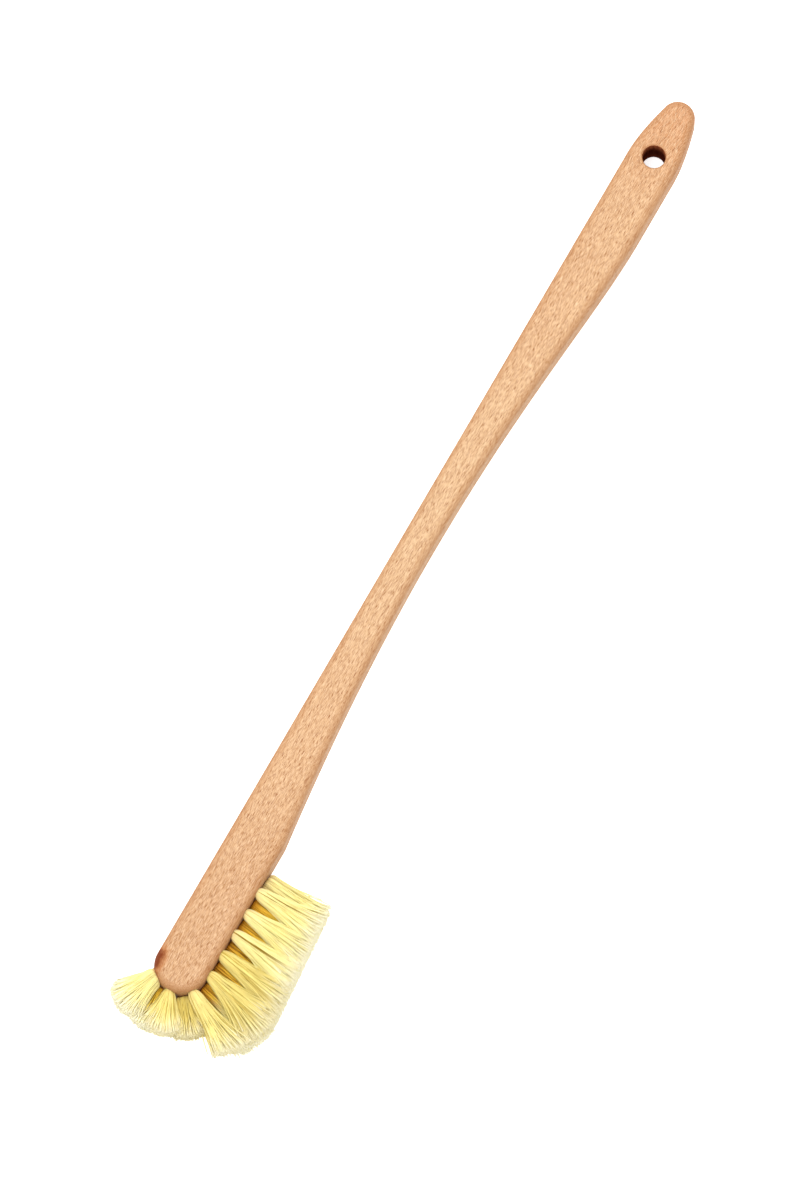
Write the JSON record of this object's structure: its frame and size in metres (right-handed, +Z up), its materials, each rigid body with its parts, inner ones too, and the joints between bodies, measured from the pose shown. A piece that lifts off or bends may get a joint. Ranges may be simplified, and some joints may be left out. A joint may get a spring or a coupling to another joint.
{
  "type": "bottle brush",
  "caption": "Long flat wooden brush with a waisted handle, a hanging hole, and plant-fibre tufts along one narrow edge of the head and round its tip, for washing bottles by hand.",
  "frame": {"origin": "on the lower broad face, under the centre of the round tip of the head", "axes": "+X along the handle towards the bristled tip, +Y out of the narrow edge that carries the bristles, +Z up out of the upper broad face"},
  "size_m": [0.3796, 0.0567, 0.014],
  "materials": {
    "beech": "sanded bare beech with short brown flecks along the grain, matt",
    "fibre": "pale straw-yellow plant fibre, dry and slightly glossy",
    "anchor_wire": "bright flat wire, cut to length"
  },
  "bodies": {
    "root": {"handle": "beech", "bristle_tuft_01": "fibre", "bristle_tuft_02": "fibre", "bristle_tuft_03": "fibre", "bristle_tuft_04": "fibre", "bristle_tuft_05": "fibre", "bristle_tuft_06": "fibre", "bristle_tuft_07": "fibre", "bristle_tuft_08": "fibre", "bristle_tuft_09": "fibre", "bristle_tuft_10": "fibre", "bristle_tuft_11": "fibre", "bristle_tuft_12": "fibre", "bristle_tuft_13": "fibre", "bristle_tuft_14": "fibre", "bristle_tuft_15": "fibre", "bristle_tuft_16": "fibre", "wire_anchor_01": "anchor_wire", "wire_anchor_02": "anchor_wire", "wire_anchor_03": "anchor_wire", "wire_anchor_04": "anchor_wire", "wire_anchor_05": "anchor_wire", "wire_anchor_06": "anchor_wire", "wire_anchor_07": "anchor_wire", "wire_anchor_08": "anchor_wire", "wire_anchor_09": "anchor_wire", "wire_anchor_10": "anchor_wire", "wire_anchor_11": "anchor_wire", "wire_anchor_12": "anchor_wire", "wire_anchor_13": "anchor_wire", "wire_anchor_14": "anchor_wire", "wire_anchor_15": "anchor_wire", "wire_anchor_16": "anchor_wire"}
  },
  "joints": []
}
